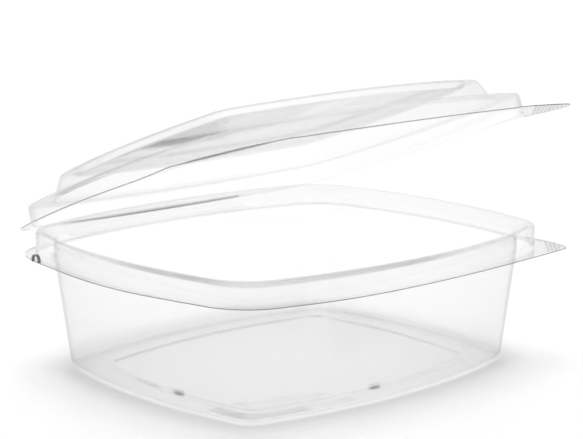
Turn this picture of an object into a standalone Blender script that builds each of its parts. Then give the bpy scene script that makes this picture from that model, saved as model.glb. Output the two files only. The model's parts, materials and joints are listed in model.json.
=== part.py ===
"""Hinged-lid takeaway meal container, empty: a clear one-piece tub and lid.

Metres, +Z up, front (opening side) at -Y.  The flat underside of the tub floor
is on z = 0.  The lid stands 19.6 degrees open about the fold line at the back.
"""
import bmesh
import bpy
from math import atan2, cos, hypot, pi, radians, sin, sqrt

MM = 0.001

# Sheet and lid opening
SHEET = 0.45 * MM             # wall thickness of tub and lid
LID_OPEN = radians(19.6)      # lid angle from closed

# Crest line of the rim: bowed sides joined by round corners
CREST_X = 86.0 * MM           # half length to the middle of a short side
CREST_Y = 76.3 * MM           # half width to the middle of a long side
BOW_LONG = 243.0 * MM         # bow radius of the long sides
BOW_SHORT = 231.0 * MM        # bow radius of the short sides
CORNER = 22.5 * MM            # corner radius
FLOOR_CORNER = 32.0 * MM      # same, for the rings of the floor

# Flange edge: flatter long sides, its own corner radii
TUB_EDGE_X = 90.0 * MM        # short sides of the tub flange
LID_EDGE_X = 89.6 * MM        # short sides of the lid flange
TUB_EDGE_Y = 78.4 * MM        # front of the tub flange
LID_EDGE_Y = 79.6 * MM        # front of the lid flange
EDGE_Y_BACK = 79.8 * MM
EDGE_BOW_LONG = 600.0 * MM
EDGE_BOW_SHORT = 202.0 * MM

# Heights
FLANGE_Z = 45.15 * MM         # top face of the tub flange above the underside
LID_LIFT = 2.65 * MM          # top face of the closed lid flange above the tub flange

# Fold line (hinge axis), relative to the top face of the tub flange
AXIS_Y = 86.0 * MM
AXIS_Z = 4.2 * MM
LEAF_HALF = 50.0 * MM         # half length of the hinge leaves

# Segments of a quarter of the outline
N_LONG, N_CORNER, N_SHORT = 6, 6, 5

# Tub sheet, upper face, from the flange foot inwards: (inset from crest, z above flange)
TUB_RIM = [(-1.05, 0.0), (-1.0, 6.8), (-0.7, 8.5), (0.3, 9.24), (1.6, 8.95), (6.3, 5.5),
           (6.5, 4.2), (6.2, 0.6)]
# on down the wall, and over the floor with its raised ring: (inset from crest, z above underside)
TUB_WALL = [(11.6, 4.6), (12.2, 2.4), (13.7, 0.95), (15.9, 0.45)]
TUB_FLOOR = [(23.0, 0.45), (24.2, 1.65), (25.8, 1.65), (27.0, 0.45)]

# Lid sheet, upper face: (inset from crest, z above the lid flange)
LID_PROFILE = [(-2.05, 0.0), (-1.75, 6.0), (-0.9, 7.0), (0.4, 7.3), (6.6, 6.95), (8.2, 7.4),
               (9.4, 9.0), (11.4, 12.1), (12.8, 15.1), (14.6, 16.5), (16.6, 16.8),
               (18.3, 16.1), (19.4, 14.7)]

# Flange corners, mm: a grip tab as (push in x, push in y, corner radius, share of the
# long side it eases over, share of the short side), or (width,) where the flange stays
# narrow.  Quarters in the order front right, back right, back left, front left.
TUB_CORNERS = [(7.4, -1.0, 4.5, 0.75, 0.55), (2.5, -4.0, 22.0, 0.5, 0.5), (2.5, -4.0, 22.0, 0.5, 0.5), (2.0,)]
LID_CORNERS = [(11.5, 4.7, 9.0, 0.25, 0.7), (0.5, 1.0, 18.0, 0.5, 0.5), (0.5, 1.0, 18.0, 0.5, 0.5),
               (11.5, 4.7, 9.0, 0.25, 0.7)]

# Hinge leaves beyond the flange edge: (y, z above the tub flange, lid closed)
TUB_LEAF = [(81.8, 0.0), (83.5, 1.45), (85.9, 3.85)]
LID_LEAF = [(81.6, 2.9), (83.4, 3.9), (85.52, 4.7)]


def corner_centre(half_x, half_y, bow_long, bow_short, radius):
    """Centre of the corner arc tangent to both bowed sides, x > 0 and y > 0 quarter."""
    y1, x2 = half_y - bow_long, half_x - bow_short
    d1, d2 = bow_long - radius, bow_short - radius
    span = hypot(x2, y1)
    ux, uy = x2 / span, -y1 / span
    along = (d1 * d1 - d2 * d2 + span * span) / (2.0 * span)
    side = sqrt(d1 * d1 - along * along)
    return along * ux + side * uy, y1 + along * uy - side * ux


def quarter(half_x, half_y, bow_long, bow_short, radius, inset=0.0):
    """Points from the middle of the long side to just before the middle of the short side."""
    y1, x2 = half_y - bow_long, half_x - bow_short
    cx, cy = corner_centre(half_x, half_y, bow_long, bow_short, radius)
    a1, a2 = atan2(cy - y1, cx), atan2(cy, cx - x2)
    arcs = [(0.0, y1, bow_long, pi / 2, a1, N_LONG), (cx, cy, radius, a1, a2, N_CORNER),
            (x2, 0.0, bow_short, a2, 0.0, N_SHORT)]
    points = []
    for x, y, r, start, end, count in arcs:
        for i in range(count):
            angle = start + (end - start) * i / count
            points.append((x + (r - inset) * cos(angle), y + (r - inset) * sin(angle)))
    return points + [(half_x - inset, 0.0)]


def ring_of(quarters):
    """Closed ring from four first-quadrant quarters: front right, back right, back left, front left."""
    front_right = [(x, -y) for x, y in quarters[0]]
    back_right = [(x, y) for x, y in reversed(quarters[1])]
    back_left = [(-x, y) for x, y in quarters[2]]
    front_left = [(-x, -y) for x, y in reversed(quarters[3])]
    return front_right[:-1] + back_right[:-1] + back_left[:-1] + front_left[:-1]


def crest_ring(inset, corner=CORNER):
    return ring_of([quarter(CREST_X, CREST_Y, BOW_LONG, BOW_SHORT, corner, inset)] * 4)


def tab_weight(index, ease_long, ease_short):
    """1 on the corner arc, easing to 0 over a share of the long and of the short side."""
    long_away = max(N_LONG - index, 0) / (N_LONG * ease_long)
    short_away = max(index - N_LONG - N_CORNER, 0) / (N_SHORT * ease_short)
    ease = max(1.0 - max(long_away, short_away), 0.0)
    return ease * ease * (3.0 - 2.0 * ease)


def tab_quarter(half_x, half_y, push_x, push_y, radius, ease_long, ease_short):
    """Quarter of a flange edge whose corner is pushed out into a grip tab."""
    points = quarter(half_x, half_y, EDGE_BOW_LONG, EDGE_BOW_SHORT, radius * MM)
    weights = [tab_weight(i, ease_long, ease_short) for i in range(len(points))]
    return [(x + push_x * MM * w, y + push_y * MM * w) for (x, y), w in zip(points, weights)]


def narrow_quarter(half_x, half_y, width):
    """Quarter of a flange edge that follows the rim round the corner at the given width."""
    outer = quarter(half_x, half_y, EDGE_BOW_LONG, EDGE_BOW_SHORT, 22.0 * MM)
    close = quarter(CREST_X, CREST_Y, BOW_LONG, BOW_SHORT, CORNER, -width * MM)
    weights = [tab_weight(i, 0.95, 0.95) for i in range(len(outer))]
    return [(ox + (cx - ox) * w, oy + (cy - oy) * w)
            for (ox, oy), (cx, cy), w in zip(outer, close, weights)]


def edge_ring(half_x, front_y, corners):
    """Flange edge from its four corners: a tab's five numbers, or the width of a narrow one."""
    quarters = []
    for number, corner in enumerate(corners):
        half_y = EDGE_Y_BACK if number in (1, 2) else front_y
        make = narrow_quarter if len(corner) == 1 else tab_quarter
        quarters.append(make(half_x, half_y, *corner))
    return ring_of(quarters)


def loft(bm, rings):
    """Closed loops joined in order, starting at the flange edge; the last one is filled."""
    rim = first = [bm.verts.new(p) for p in rings[0]]
    edges = [bm.edges.new((first[i - 1], first[i])) for i in range(len(first))]
    for ring in rings[1:]:
        made = bmesh.ops.extrude_edge_only(bm, edges=edges)["geom"]
        fresh = {v for v in made if isinstance(v, bmesh.types.BMVert)}
        edges = [e for e in made if isinstance(e, bmesh.types.BMEdge) and fresh.issuperset(e.verts)]
        rim = [next(e.other_vert(v) for e in v.link_edges if e.other_vert(v) in fresh) for v in rim]
        for vert, point in zip(rim, ring):
            vert.co = point
    bmesh.ops.contextual_create(bm, geom=edges)
    return first


def add_leaf(bm, edge_verts, rows):
    """Extrude the middle of the back flange edge along the leaf section."""
    chosen = {v for v in edge_verts if v.co.y > 0.0 and abs(v.co.x) <= LEAF_HALF}
    edges = [e for e in bm.edges if e.is_boundary and e.verts[0] in chosen and e.verts[1] in chosen]
    for y, z in rows:
        made = bmesh.ops.extrude_edge_only(bm, edges=edges)["geom"]
        for vert in (v for v in made if isinstance(v, bmesh.types.BMVert)):
            vert.co.y, vert.co.z = y, z
        edges = [e for e in made if isinstance(e, bmesh.types.BMEdge) and e.is_boundary
                 and abs(e.verts[0].co.y - e.verts[1].co.y) < 1e-9]


def sheet_object(name, rings, leaf, offset, material, home):
    """Open sheet from rings plus a leaf, given its thickness towards the underside."""
    bm = bmesh.new()
    edge_verts = loft(bm, rings)
    add_leaf(bm, edge_verts, leaf)
    bmesh.ops.translate(bm, verts=bm.verts, vec=offset)
    bmesh.ops.recalc_face_normals(bm, faces=bm.faces)
    if max(bm.faces, key=lambda f: len(f.verts)).normal.z < 0.0:
        bmesh.ops.reverse_faces(bm, faces=bm.faces)
    mesh = bpy.data.meshes.new(name)
    bm.to_mesh(mesh)
    bm.free()
    mesh.shade_smooth()
    mesh.set_sharp_from_angle(angle=radians(50.0))
    mesh.materials.append(material)
    obj = bpy.data.objects.new(name, mesh)
    home.objects.link(obj)
    shell = obj.modifiers.new("sheet", "SOLIDIFY")
    shell.thickness = SHEET
    shell.offset = -1.0
    shell.use_even_offset = True
    return obj


def clear_plastic(name):
    material = bpy.data.materials.new(name)
    material.use_nodes = True
    shader = material.node_tree.nodes["Principled BSDF"]
    shader.inputs["Base Color"].default_value = (0.93, 0.94, 0.94, 1.0)
    shader.inputs["Roughness"].default_value = 0.08
    shader.inputs["Alpha"].default_value = 0.35
    return material


def at_height(ring, z):
    return [(x, y, z) for x, y in ring]


def build_tub(home):
    rings = [at_height(edge_ring(TUB_EDGE_X, TUB_EDGE_Y, TUB_CORNERS), FLANGE_Z)]
    rings += [at_height(crest_ring(d * MM), FLANGE_Z + z * MM) for d, z in TUB_RIM]
    rings += [at_height(crest_ring(d * MM), z * MM) for d, z in TUB_WALL]
    rings += [at_height(crest_ring(d * MM, FLOOR_CORNER), z * MM) for d, z in TUB_FLOOR]
    leaf = [(y * MM, FLANGE_Z + z * MM) for y, z in TUB_LEAF]
    return sheet_object("tub", rings, leaf, (0.0, 0.0, 0.0), clear_plastic("tub_plastic"), home)


def build_lid(home):
    """Lid made closed, its origin on the fold line, then turned open about it."""
    base = FLANGE_Z + LID_LIFT
    rings = [at_height(edge_ring(LID_EDGE_X, LID_EDGE_Y, LID_CORNERS), base)]
    rings += [at_height(crest_ring(d * MM), base + z * MM) for d, z in LID_PROFILE]
    leaf = [(y * MM, FLANGE_Z + z * MM) for y, z in LID_LEAF]
    axis = (0.0, -AXIS_Y, -(FLANGE_Z + AXIS_Z))
    lid = sheet_object("lid", rings, leaf, axis, clear_plastic("lid_plastic"), home)
    lid.location = (0.0, AXIS_Y, FLANGE_Z + AXIS_Z)
    lid.rotation_euler = (-LID_OPEN, 0.0, 0.0)
    return lid


def main():
    for obj in list(bpy.data.objects):
        bpy.data.objects.remove(obj, do_unlink=True)
    home = bpy.data.collections.new("meal_container")
    bpy.context.scene.collection.children.link(home)
    build_tub(home)
    build_lid(home)


main()
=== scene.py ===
"""Looks of the clear hinged-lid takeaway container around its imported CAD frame.

Metres, +Z up, the frame's own axes.  The lid is drawn closed and then turned to
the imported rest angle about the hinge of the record.
"""

import bmesh
import bpy
import json
from math import atan2, cos, hypot, pi, radians, sin, sqrt, tan
from mathutils import Matrix, Vector


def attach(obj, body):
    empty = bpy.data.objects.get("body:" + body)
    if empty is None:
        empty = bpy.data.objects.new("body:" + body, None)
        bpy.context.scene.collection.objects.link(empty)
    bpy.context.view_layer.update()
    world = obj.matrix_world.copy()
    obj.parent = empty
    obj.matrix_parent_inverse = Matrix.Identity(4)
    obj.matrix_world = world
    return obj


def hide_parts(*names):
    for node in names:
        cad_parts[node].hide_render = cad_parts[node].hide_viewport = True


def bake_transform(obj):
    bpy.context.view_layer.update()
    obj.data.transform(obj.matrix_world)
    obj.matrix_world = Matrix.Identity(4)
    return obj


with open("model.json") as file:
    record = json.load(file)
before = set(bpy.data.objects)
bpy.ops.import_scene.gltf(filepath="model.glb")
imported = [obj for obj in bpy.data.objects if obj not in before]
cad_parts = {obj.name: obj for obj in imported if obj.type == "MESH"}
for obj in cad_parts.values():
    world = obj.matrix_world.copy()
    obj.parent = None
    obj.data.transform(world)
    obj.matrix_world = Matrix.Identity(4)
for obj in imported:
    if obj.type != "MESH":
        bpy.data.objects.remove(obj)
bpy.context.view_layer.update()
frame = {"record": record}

MM = 0.001
HINGE = frame["record"]["behaviour"]["joints"][0]
AXIS_AT = Vector(HINGE["pos_m"])
LID_OPEN = -radians(HINGE["range_deg"][0])

SHEET = 0.40 * MM
CREST_X, CREST_Y = 86.0 * MM, 76.3 * MM
BOW_LONG, BOW_SHORT = 243.0 * MM, 231.0 * MM
CORNER, FLOOR_CORNER = 22.5 * MM, 32.0 * MM
TUB_EDGE_X, LID_EDGE_X = 90.0 * MM, 89.6 * MM
TUB_EDGE_Y, LID_EDGE_Y, EDGE_Y_BACK = 78.4 * MM, 79.6 * MM, 79.8 * MM
EDGE_BOW_LONG, EDGE_BOW_SHORT = 600.0 * MM, 202.0 * MM
FLANGE_Z = AXIS_AT.z - 4.2 * MM
LID_BASE = FLANGE_Z + 2.65 * MM
LEAF_HALF = 50.0 * MM
TAB_DROOP = 1.8 * MM  # how far the tips of the lid tabs bend down
FLOOR_LUGS = [(-60.2, -7.0, (1.5, 3.0, 0.35)), (-1.0, -50.2, (3.0, 1.5, 0.35))]  # x, y, half sizes, mm

# Segments of a quarter of the outline
N_LONG, N_CORNER, N_SHORT = 22, 18, 18

# Upper face of the sheet as (inset from the crest, height, rounding), all in mm
TUB_RIM = [(-1.05, 0.0, 0.5), (-0.9, 9.24, 1.3), (1.5, 9.1, 1.5), (6.45, 5.44, 0.7),
           (6.2, 0.2, 1.5)]
TUB_WALL = [(12.05, 0.45, 4.4)]
TUB_FLOOR = [(23.2, 0.45, 1.2), (24.6, 1.15, 0.9), (25.5, 1.15, 0.9), (26.9, 0.45, 1.2), (29.5, 0.45, 0.0)]
LID_PROFILE = [(-2.05, 0.0, 0.5), (-1.75, 7.3, 1.3), (2.2, 7.25, 1.2), (7.0, 6.95, 1.6),
               (9.0, 8.4, 1.5),
               (13.3, 16.8, 2.6), (17.6, 16.8, 1.2), (19.2, 14.7, 0.8), (21.6, 14.7, 0.0)]

# Flange corners, mm: a grip tab as (push in x, push in y, corner radius, share of the
# long side it eases over, share of the short side), or (width,) where the flange stays
# narrow.  Quarters in the order front right, back right, back left, front left.
BACK_TUB, TAB_LID = (2.5, -4.0, 22.0, 0.5, 0.5), (11.5, 4.7, 9.0, 0.25, 0.7)
BACK_LID = (0.5, 1.0, 18.0, 0.5, 0.5)
TUB_CORNERS = [(7.4, -1.0, 4.5, 0.75, 0.55), BACK_TUB, BACK_TUB, (2.0,)]
LID_CORNERS = [TAB_LID, BACK_LID, BACK_LID, TAB_LID]


# ---------------------------------------------------------------- outlines
def arc_geometry(half_x, half_y, bow_long, bow_short, radius):
    y1, x2 = half_y - bow_long, half_x - bow_short
    d1, d2 = bow_long - radius, bow_short - radius
    span = hypot(x2, y1)
    ux, uy = x2 / span, -y1 / span
    along = (d1 * d1 - d2 * d2 + span * span) / (2.0 * span)
    side = sqrt(d1 * d1 - along * along)
    cx, cy = along * ux + side * uy, y1 + along * uy - side * ux
    return y1, x2, cx, cy


def quarter(half_x, half_y, bow_long, bow_short, radius, inset=0.0):
    """Points from the middle of the long side to the middle of the short side, x > 0 and y > 0."""
    y1, x2, cx, cy = arc_geometry(half_x, half_y, bow_long, bow_short, radius)
    a1, a2 = atan2(cy - y1, cx), atan2(cy, cx - x2)
    arcs = [(0.0, y1, bow_long, pi / 2, a1, N_LONG), (cx, cy, radius, a1, a2, N_CORNER),
            (x2, 0.0, bow_short, a2, 0.0, N_SHORT)]
    points = []
    for x, y, r, start, end, count in arcs:
        for i in range(count):
            angle = start + (end - start) * i / count
            points.append((x + (r - inset) * cos(angle), y + (r - inset) * sin(angle)))
    return points + [(half_x - inset, 0.0)]


def ring_of(quarters):
    front_right = [(x, -y) for x, y in quarters[0]]
    back_right = [(x, y) for x, y in reversed(quarters[1])]
    back_left = [(-x, y) for x, y in quarters[2]]
    front_left = [(-x, -y) for x, y in reversed(quarters[3])]
    return front_right[:-1] + back_right[:-1] + back_left[:-1] + front_left[:-1]


def crest_ring(inset, corner=CORNER):
    return ring_of([quarter(CREST_X, CREST_Y, BOW_LONG, BOW_SHORT, corner, inset)] * 4)


def tab_weight(index, ease_long, ease_short):
    """1 on the corner arc, easing to 0 over a share of the long and of the short side."""
    long_away = max(N_LONG - index, 0) / (N_LONG * ease_long)
    short_away = max(index - N_LONG - N_CORNER, 0) / (N_SHORT * ease_short)
    ease = max(1.0 - max(long_away, short_away), 0.0)
    return ease * ease * (3.0 - 2.0 * ease)


def tab_quarter(half_x, half_y, push_x, push_y, radius, ease_long, ease_short):
    """Quarter of a flange edge whose corner is pushed out into a grip tab."""
    points = quarter(half_x, half_y, EDGE_BOW_LONG, EDGE_BOW_SHORT, radius * MM)
    weights = [tab_weight(i, ease_long, ease_short) for i in range(len(points))]
    return [(x + push_x * MM * w, y + push_y * MM * w) for (x, y), w in zip(points, weights)]


def narrow_quarter(half_x, half_y, width):
    """Quarter of a flange edge that follows the rim round the corner at the given width."""
    outer = quarter(half_x, half_y, EDGE_BOW_LONG, EDGE_BOW_SHORT, 22.0 * MM)
    close = quarter(CREST_X, CREST_Y, BOW_LONG, BOW_SHORT, CORNER, -width * MM)
    weights = [tab_weight(i, 0.95, 0.95) for i in range(len(outer))]
    return [(ox + (cx - ox) * w, oy + (cy - oy) * w)
            for (ox, oy), (cx, cy), w in zip(outer, close, weights)]


def edge_ring(half_x, front_y, corners):
    """Flange edge from its four corners: a tab's five numbers, or the width of a narrow one."""
    quarters = []
    for number, corner in enumerate(corners):
        half_y = EDGE_Y_BACK if number in (1, 2) else front_y
        make = narrow_quarter if len(corner) == 1 else tab_quarter
        quarters.append(make(half_x, half_y, *corner))
    return ring_of(quarters)


def rounded(profile, steps=5, longest=7.0):
    """Section polyline with each inner corner turned into an arc of its own radius, mm."""
    points = [Vector(profile[0][:2])]
    for before, here, after in zip(profile, profile[1:], profile[2:]):
        p, a, b = Vector(here[:2]), Vector(before[:2]), Vector(after[:2])
        u, v = (a - p).normalized(), (b - p).normalized()
        half = u.angle(v) / 2.0
        reach = min(here[2] / tan(half), 0.49 * (a - p).length, 0.49 * (b - p).length)
        if reach < 1e-4:
            points.append(p)
            continue
        centre = p + (u + v).normalized() * (reach / cos(half))
        start, end = p + u * reach - centre, p + v * reach - centre
        sweep = start.angle_signed(end)
        points += [centre + Matrix.Rotation(-sweep * i / steps, 2) @ start for i in range(steps + 1)]
    points.append(Vector(profile[-1][:2]))
    filled = [points[0]]
    for p in points[1:]:
        last = filled[-1]
        count = int((p - last).length / longest) + 1
        filled += [last.lerp(p, (i + 1) / count) for i in range(count)]
    return filled


# ---------------------------------------------------------------- sheets
def skin(rings):
    """Lofted sheet as a bmesh: rings from the edge inwards, filled at the last."""
    bm = bmesh.new()
    loops = [[bm.verts.new(p) for p in ring] for ring in rings]
    for outer, inner in zip(loops, loops[1:]):
        for i in range(len(outer)):
            bm.faces.new((outer[i - 1], outer[i], inner[i], inner[i - 1]))
    last = loops[-1]
    middle = [v.co.copy() for v in last]
    centre = sum(middle, Vector()) / len(middle)
    for share in (0.75, 0.5, 0.25, 0.08):
        ring = [bm.verts.new(centre.lerp(p, share)) for p in middle]
        for i in range(len(ring)):
            bm.faces.new((last[i - 1], last[i], ring[i], ring[i - 1]))
        last = ring
    bm.faces.new(last)
    bmesh.ops.recalc_face_normals(bm, faces=bm.faces)
    if max(bm.faces, key=lambda f: len(f.verts)).normal.z < 0.0:
        bmesh.ops.reverse_faces(bm, faces=bm.faces)
    return bm


def finished(name, bm, materials, thickness=SHEET):
    """Object from a sheet bmesh, given thickness towards its underside, all modifiers applied."""
    mesh = bpy.data.meshes.new(name)
    bm.to_mesh(mesh)
    bm.free()
    for material in materials:
        mesh.materials.append(material)
    obj = bpy.data.objects.new(name, mesh)
    bpy.context.scene.collection.objects.link(obj)
    shell = obj.modifiers.new("sheet", "SOLIDIFY")
    shell.thickness, shell.offset, shell.use_even_offset = thickness, -1.0, True
    # rim faces take the second slot: on tub and lid that is the edge's painted shade
    shell.material_offset_rim = 1
    deps = bpy.context.evaluated_depsgraph_get()
    solid = bpy.data.meshes.new_from_object(obj.evaluated_get(deps))
    obj.modifiers.clear()
    obj.data = solid
    solid.name = name
    solid.shade_smooth()
    solid.set_sharp_from_angle(angle=radians(50.0))
    return obj


def tab_bend(edge, foot, droop):
    """Function of x, y giving how far the flange is bent down towards its front tab tips."""
    start = max(abs(x) - y for x, y in crest_ring(foot * MM))
    reach = max(abs(x) - y for x, y in edge) - start
    return lambda x, y: droop * min(max((abs(x) - y - start) / reach, 0.0), 1.0)


def flange_rings(edge, foot, z, droop=0.0, count=8):
    """Rings over the flange, from its edge to just before the foot of the rim."""
    inner, bend = crest_ring(foot * MM), tab_bend(edge, foot, droop)
    rings = []
    for k in range(count):
        t = k / count
        ring = [(ax + (bx - ax) * t, ay + (by - ay) * t) for (ax, ay), (bx, by) in zip(edge, inner)]
        rings.append([(x, y, z - bend(x, y)) for x, y in ring])
    return rings


def tub_sheet():
    z0 = FLANGE_Z / MM
    section = [(d, z + z0, r) for d, z, r in TUB_RIM] + TUB_WALL + [(17.5, 0.45, 0.0)]
    rings = flange_rings(edge_ring(TUB_EDGE_X, TUB_EDGE_Y, TUB_CORNERS), TUB_RIM[0][0], FLANGE_Z)
    rings += [[(x, y, p.y * MM) for x, y in crest_ring(p.x * MM)] for p in rounded(section)]
    rings += [[(x, y, p.y * MM) for x, y in crest_ring(p.x * MM, FLOOR_CORNER)]
              for p in rounded([(22.4, 0.45, 0.0)] + TUB_FLOOR)]
    return skin(rings)


def lid_sheet():
    z0 = LID_BASE / MM
    section = [(d, z + z0, r) for d, z, r in LID_PROFILE]
    rings = flange_rings(edge_ring(LID_EDGE_X, LID_EDGE_Y, LID_CORNERS), LID_PROFILE[0][0], LID_BASE,
                         TAB_DROOP)
    rings += [[(x, y, p.y * MM) for x, y in crest_ring(p.x * MM)] for p in rounded(section)]
    return skin(rings)


def open_lid(mesh):
    """Turn closed-lid mesh data to the rest pose about the hinge."""
    turn = Matrix.Rotation(-LID_OPEN, 4, "X")
    mesh.transform(Matrix.Translation(AXIS_AT) @ turn @ Matrix.Translation(-AXIS_AT))


def edge_shade_front_left(mesh):
    """The cut edge keeps its painted shade, a dark line, along the front and the left side, and is clear
    elsewhere.
    """
    for face in mesh.polygons:
        front, left = face.center.y < -0.6 * EDGE_Y_BACK, face.center.x < -0.8 * CREST_X
        # rim faces off the front and left lose the painted-shade edge material
        if face.material_index == 1 and not (front or left):
            face.material_index = 0


def clear_floor(mesh):
    """The floor is drawn thinnest, so it is the clearest."""
    for face in mesh.polygons:
        if face.center.z < 2.0 * MM:
            face.material_index = 2


def hinge_web():
    """The fold: one strip of sheet from the tub's back flange edge round to the lid's."""
    edge = quarter(TUB_EDGE_X, EDGE_Y_BACK, EDGE_BOW_LONG, EDGE_BOW_SHORT, 22.0 * MM)
    half = [(x, y) for x, y in edge if x <= LEAF_HALF and y > 0.0]
    line = [(-x, y) for x, y in reversed(half[1:])] + half
    lid_z = LID_BASE - AXIS_AT.z
    bm = bmesh.new()
    rows = []
    for x, y in line:
        back = Matrix.Rotation(-LID_OPEN, 4, "X") @ Vector((0.0, y - AXIS_AT.y, lid_z))
        path = [(y, FLANGE_Z), (81.8 * MM, FLANGE_Z + 0.1 * MM), (84.2 * MM, FLANGE_Z + 1.0 * MM),
                (86.0 * MM, FLANGE_Z + 2.6 * MM), (86.5 * MM, FLANGE_Z + 3.7 * MM),
                (86.0 * MM, FLANGE_Z + 4.6 * MM), (84.6 * MM, FLANGE_Z + 4.95 * MM),
                (82.4 * MM, FLANGE_Z + 4.95 * MM), (AXIS_AT.y + back.y, AXIS_AT.z + back.z)]
        rows.append([bm.verts.new((x, py, pz)) for py, pz in smooth_path(path)])
    for one, two in zip(rows, rows[1:]):
        for i in range(len(one) - 1):
            bm.faces.new((one[i], two[i], two[i + 1], one[i + 1]))
    bmesh.ops.recalc_face_normals(bm, faces=bm.faces)
    return bm


def smooth_path(points, steps=3):
    """Catmull-Rom curve through the points."""
    out = []
    for i in range(len(points) - 1):
        p0, p1 = Vector(points[max(i - 1, 0)]), Vector(points[i])
        p2, p3 = Vector(points[i + 1]), Vector(points[min(i + 2, len(points) - 1)])
        for k in range(steps):
            t = k / steps
            out.append(0.5 * ((2 * p1) + (p2 - p0) * t + (2 * p0 - 5 * p1 + 4 * p2 - p3) * t * t
                              + (3 * p1 - p0 - 3 * p2 + p3) * t ** 3))
    return [tuple(v) for v in out] + [points[-1]]


def inside(point, ring):
    """True if the point lies within the closed ring."""
    x, y = point
    hit = False
    for (ax, ay), (bx, by) in zip(ring, ring[1:] + ring[:1]):
        if (ay > y) != (by > y) and x < (bx - ax) * (y - ay) / (by - ay) + ax:
            hit = not hit
    return hit


def knurl(edge, foot, z, sides, droop=0.0, pitch=2.1, high=0.3):
    """Diamond studs over the grip tabs at the front, on both faces of the flange."""
    crest = crest_ring((foot - 2.4) * MM)
    centre = [(x * 0.985, y * 0.985) for x, y in edge]
    bend = tab_bend(edge, foot, droop)
    bm = bmesh.new()
    step = pitch * MM
    for side in sides:
        for i in range(-14, 15):
            for j in range(-14, 15):
                x = side * 79.0 * MM + (i + 0.5 * (j % 2)) * step
                y = -70.0 * MM + j * step * 0.5
                if abs(x) - y < 143.5 * MM or inside((x, y), crest) or not inside((x, y), centre):
                    continue
                for face, lift in ((z, high * MM), (z - SHEET, -0.6 * high * MM)):
                    stud(bm, x, y, face - bend(x, y), 0.46 * step, lift)
    bmesh.ops.recalc_face_normals(bm, faces=bm.faces)
    return bm


def stud(bm, x, y, z, half, lift):
    """One closed diamond-shaped stud with a small flat top."""
    tips = ((1.0, 0.0), (0.0, 0.5), (-1.0, 0.0), (0.0, -0.5))
    base = [bm.verts.new((x + dx * half, y + dy * half, z)) for dx, dy in tips]
    top = [bm.verts.new((x + dx * half * 0.3, y + dy * half * 0.3, z + lift)) for dx, dy in tips]
    bm.faces.new(base)
    bm.faces.new(top)
    for i in range(4):
        bm.faces.new((base[i - 1], base[i], top[i], top[i - 1]))


def plain(name, bm, material, smooth=True):
    """Object from an already closed bmesh."""
    mesh = bpy.data.meshes.new(name)
    bm.to_mesh(mesh)
    bm.free()
    if smooth:
        mesh.shade_smooth()
        mesh.set_sharp_from_angle(angle=radians(40.0))
    mesh.materials.append(material)
    obj = bpy.data.objects.new(name, mesh)
    bpy.context.scene.collection.objects.link(obj)
    return obj


def bridge_rib():
    """Small arch across the left flange, its outer end open."""
    bm = bmesh.new()
    wide, tall, wall = 2.2 * MM, 3.1 * MM, 0.4 * MM
    arch = [(wide * cos(pi * k / 12), tall - wide + wide * sin(pi * k / 12)) for k in range(13)]
    outer = [(wide, 0.0)] + arch + [(-wide, 0.0)]
    inner = [(u * (wide - wall) / wide, v * (tall - wall) / tall) for u, v in outer]
    loop = outer + inner[::-1]
    ends = [[bm.verts.new((x * MM, 47.0 * MM + u, FLANGE_Z + v)) for u, v in loop] for x in (-86.4, -85.2)]
    count = len(loop)
    for i in range(count):
        bm.faces.new((ends[0][i - 1], ends[0][i], ends[1][i], ends[1][i - 1]))
    for end in ends:
        for i in range(count // 2 - 1):
            bm.faces.new((end[i], end[i + 1], end[count - 2 - i], end[count - 1 - i]))
    bmesh.ops.recalc_face_normals(bm, faces=bm.faces)
    return bm


def floor_lugs():
    """Low rounded lugs on the raised ring of the tub floor: at the left and at the front."""
    bm = bmesh.new()
    for x, y, size in FLOOR_LUGS:
        for v in bmesh.ops.create_uvsphere(bm, u_segments=20, v_segments=10, radius=1.0)["verts"]:
            v.co = Vector((x + v.co.x * size[0], y + v.co.y * size[1], 1.1 + v.co.z * size[2])) * MM
    return bm


# ---------------------------------------------------------------- materials
def clear_plastic(name, clear=0.988, graze=0.80, power=3.5, rough=0.05, waves=0.03, mirror=5.0):
    """Clear formed sheet, seen as a film: it greys where the eye or a lamp's light
    grazes it and passes through more of it, and shines more there as well.

    clear and graze are what one face lets through head on and edge on.  A lower mirror
    makes it shine from less steep angles on.
    """
    material = bpy.data.materials.new(name)
    material.use_nodes = True
    tree = material.node_tree
    tree.nodes.remove(tree.nodes["Principled BSDF"])
    coords = tree.nodes.new("ShaderNodeTexCoord")
    noise = tree.nodes.new("ShaderNodeTexNoise")
    noise.inputs["Scale"].default_value = 40.0
    noise.inputs["Detail"].default_value = 2.0
    bump = tree.nodes.new("ShaderNodeBump")
    bump.inputs["Strength"].default_value = waves
    bump.inputs["Distance"].default_value = 0.0004
    tree.links.new(coords.outputs["Object"], noise.inputs["Vector"])
    tree.links.new(noise.outputs["Fac"], bump.inputs["Height"])

    weight = tree.nodes.new("ShaderNodeLayerWeight")
    weight.inputs["Blend"].default_value = 0.5
    tree.links.new(bump.outputs["Normal"], weight.inputs["Normal"])
    tint = curve(tree, weight.outputs["Facing"], power, clear, graze)
    film = tree.nodes.new("ShaderNodeBsdfTransparent")
    tree.links.new(tint, film.inputs["Color"])
    gloss = tree.nodes.new("ShaderNodeBsdfGlossy")
    gloss.inputs["Color"].default_value = (0.97, 0.97, 0.97, 1.0)
    gloss.inputs["Roughness"].default_value = rough
    tree.links.new(bump.outputs["Normal"], gloss.inputs["Normal"])
    share = curve(tree, weight.outputs["Facing"], mirror, 0.04, 1.0)
    mix = tree.nodes.new("ShaderNodeMixShader")
    tree.links.new(share, mix.inputs[0])
    tree.links.new(film.outputs[0], mix.inputs[1])
    tree.links.new(gloss.outputs[0], mix.inputs[2])
    tree.links.new(mix.outputs[0], tree.nodes["Material Output"].inputs["Surface"])
    return material


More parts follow.
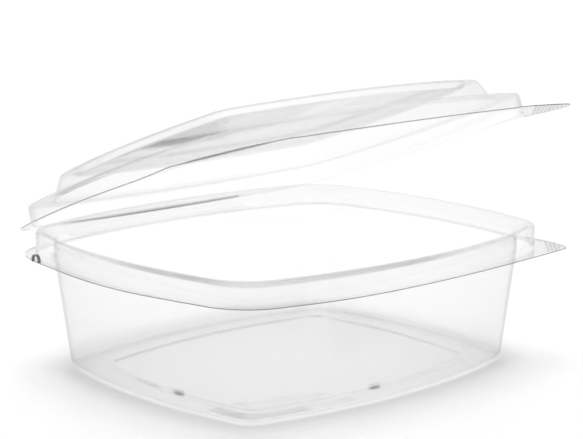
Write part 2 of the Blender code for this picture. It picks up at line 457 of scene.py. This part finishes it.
def curve(tree, socket, power, start, end):
    """start + (end - start) * socket ** power, as nodes."""
    raised = tree.nodes.new("ShaderNodeMath")
    raised.operation = "POWER"
    raised.inputs[1].default_value = power
    spread = tree.nodes.new("ShaderNodeMapRange")
    spread.inputs["To Min"].default_value = start
    spread.inputs["To Max"].default_value = end
    tree.links.new(socket, raised.inputs[0])
    tree.links.new(raised.outputs[0], spread.inputs["Value"])
    return spread.outputs["Result"]


def edge_painted_shade(name):
    """The die-cut edge of the sheet, drawn as a thin grey line: painted shade, not the sheet's own colour.
    """
    return clear_plastic(name, clear=0.45, graze=0.40, power=1.0, rough=0.3)


def knurled(name):
    """The grip studs, whose many small slopes make the tabs look grey."""
    return clear_plastic(name, clear=0.97, graze=0.80, power=3.0, rough=0.15)


def pale_floor():
    material = bpy.data.materials.new("studio_floor")
    material.use_nodes = True
    shader = material.node_tree.nodes["Principled BSDF"]
    shader.inputs["Base Color"].default_value = (0.383, 0.383, 0.383, 1.0)
    shader.inputs["Roughness"].default_value = 0.6
    return material


# ---------------------------------------------------------------- stage
def stage():
    mesh = bpy.data.meshes.new("floor")
    bm = bmesh.new()
    bmesh.ops.create_grid(bm, x_segments=1, y_segments=1, size=6.0)
    bm.to_mesh(mesh)
    bm.free()
    floor = bpy.data.objects.new("floor", mesh)
    bpy.context.scene.collection.objects.link(floor)
    mesh.materials.append(pale_floor())
    world = bpy.data.worlds.new("studio")
    world.use_nodes = True
    world.node_tree.nodes["Background"].inputs["Color"].default_value = (1.0, 1.0, 1.0, 1.0)
    world.node_tree.nodes["Background"].inputs["Strength"].default_value = 1.0
    bpy.context.scene.world = world
    sun("overhead", (0.05, 0.1, 1.0), 24.0, 3.6)
    sun("behind", (0.55, 0.6, 0.9), 60.0, 2.2)


def sun(name, towards, spread, strength):
    """Soft even light from the direction given, its disc spread over that many degrees.

    It stays out of reflections, so that the sheet mirrors only the white surroundings.
    """
    data = bpy.data.lights.new(name, "SUN")
    data.energy, data.angle = strength, radians(spread)
    lamp = bpy.data.objects.new(name, data)
    lamp.visible_glossy = False
    lamp.rotation_euler = Vector(towards).to_track_quat("Z", "Y").to_euler()
    bpy.context.scene.collection.objects.link(lamp)


def camera():
    """The photo's view: 41.8 degrees round from the front, 11.1 degrees down, 109 mm lens."""
    azimuth, down, roll = radians(-41.83), radians(11.1), radians(-0.2)
    ahead = Vector((-sin(azimuth) * cos(down), cos(azimuth) * cos(down), -sin(down)))
    right = ahead.cross(Vector((0.0, 0.0, 1.0))).normalized()
    up = right.cross(ahead)
    right, up = cos(roll) * right + sin(roll) * up, cos(roll) * up - sin(roll) * right
    data = bpy.data.cameras.new("camera")
    data.sensor_width, data.lens = 36.0, 109.45
    cam = bpy.data.objects.new("camera", data)
    cam.matrix_world = Matrix.Translation((-0.45226, -0.50805, 0.1904)) @ Matrix(
        (right, up, -ahead)).transposed().to_4x4()
    bpy.context.scene.collection.objects.link(cam)
    bpy.context.scene.camera = cam


def build():
    plastic_tub, plastic_lid = clear_plastic("tub_clear_sheet"), clear_plastic("lid_clear_sheet")
    # the edge materials carry painted shade: a dark line along the sheet's cut edge
    shade_edge_tub, shade_edge_lid = edge_painted_shade("tub_cut_edge"), edge_painted_shade("lid_cut_edge")
    floor_tub = clear_plastic("tub_floor_sheet", clear=0.998, graze=0.97, mirror=3.0)
    fold = clear_plastic("fold_clear_sheet", clear=0.99, graze=0.96)
    grip = knurled("knurled_grip")
    tub = finished("tub_sheet", tub_sheet(), (plastic_tub, shade_edge_tub, floor_tub))
    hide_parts("tub")
    tub_edge = edge_ring(TUB_EDGE_X, TUB_EDGE_Y, TUB_CORNERS)
    edge_shade_front_left(tub.data)
    clear_floor(tub.data)
    tub_parts = [tub, plain("tub_grip", knurl(tub_edge, TUB_RIM[0][0], FLANGE_Z, (1,)), grip, False),
                 # the rib takes the tub edge's painted shade, so it shows as a dark arch
                 plain("tub_rib", bridge_rib(), shade_edge_tub),
                 plain("tub_floor_lugs", floor_lugs(), floor_tub)]
    for piece in tub_parts:
        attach(piece, "tub")

    lid = finished("lid_sheet", lid_sheet(), (plastic_lid, shade_edge_lid))
    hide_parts("lid")
    edge_shade_front_left(lid.data)
    lid_edge = edge_ring(LID_EDGE_X, LID_EDGE_Y, LID_CORNERS)
    studs = knurl(lid_edge, LID_PROFILE[0][0], LID_BASE, (-1, 1), TAB_DROOP)
    lid_parts = [lid, plain("lid_grips", studs, grip, False)]
    for piece in lid_parts:
        open_lid(piece.data)
        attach(piece, "lid")

    web = finished("hinge_web", hinge_web(), (fold, fold))
    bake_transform(web)


build()
stage()
camera()
view = bpy.context.scene.view_settings
view.view_transform, view.look = "Standard", "None"
bpy.context.view_layer.update()
